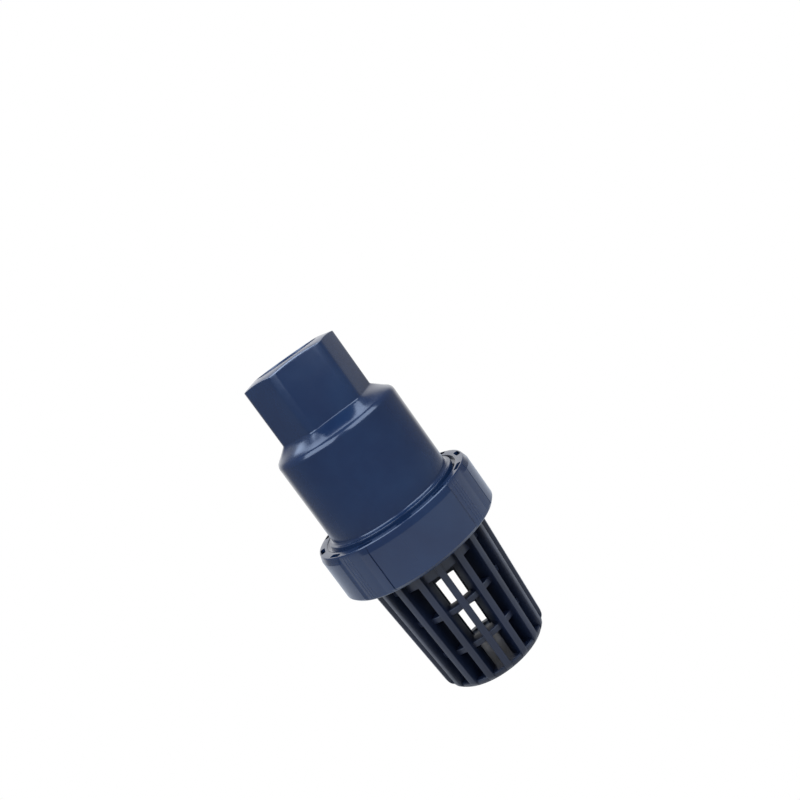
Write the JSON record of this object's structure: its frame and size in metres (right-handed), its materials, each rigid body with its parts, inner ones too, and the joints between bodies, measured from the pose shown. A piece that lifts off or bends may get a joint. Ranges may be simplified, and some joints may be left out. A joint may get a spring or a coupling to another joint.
{
  "type": "foot valve",
  "caption": "Plastic foot valve: hexagonal threaded port, cylindrical barrel with a spring-closed poppet, and a ribbed strainer basket held on by a union nut.",
  "frame": {"origin": "middle of the strainer's flat floor, the lowest face of the valve", "axes": "+Z along the valve's axis, from the strainer to the threaded port; one rib of the strainer faces -Y"},
  "size_m": [0.1088, 0.1088, 0.2249],
  "materials": {
    "navy_pvc": "moulded, semi-gloss",
    "grey_pvc": "moulded, satin",
    "white_ptfe": "turned, waxy",
    "black_rubber": "moulded, matt",
    "stainless_steel": "turned and drawn"
  },
  "bodies": {
    "barrel": {"valve_body": "navy_pvc", "seat_ring": "grey_pvc", "seat_ring_o_ring": "black_rubber", "guide_cage": "grey_pvc", "guide_bush": "white_ptfe", "spring_washer": "stainless_steel", "closing_spring": "stainless_steel"},
    "poppet": {"poppet_stem": "stainless_steel", "poppet_disc": "navy_pvc", "seat_seal": "black_rubber", "seal_retainer": "navy_pvc", "lock_washer": "stainless_steel", "stem_lock_nut": "stainless_steel"},
    "strainer": {"strainer_basket": "navy_pvc", "flange_gasket": "black_rubber"},
    "nut": {"union_nut": "navy_pvc"}
  },
  "joints": [
    {"name": "poppet_lift", "type": "slide", "parent": "barrel", "child": "poppet", "axis": [0, 0, 1], "range_m": [0, 0.011], "stiffness_N_per_m": 150, "springref_m": -0.01, "deforming": ["closing_spring"]},
    {"name": "strainer_drop", "type": "slide", "parent": "barrel", "child": "strainer", "axis": [0, 0, -1], "range_m": [0, 0.015]},
    {"name": "nut_turn", "type": "hinge", "parent": "strainer", "child": "nut", "pos_m": [0, 0, 0.1012], "axis": [0, 0, -1], "range_deg": [0, 1080]}
  ],
  "couplings": [
    {"joint": "strainer_drop", "follows": "nut_turn", "m_per_rad": 0.00079577}
  ]
}
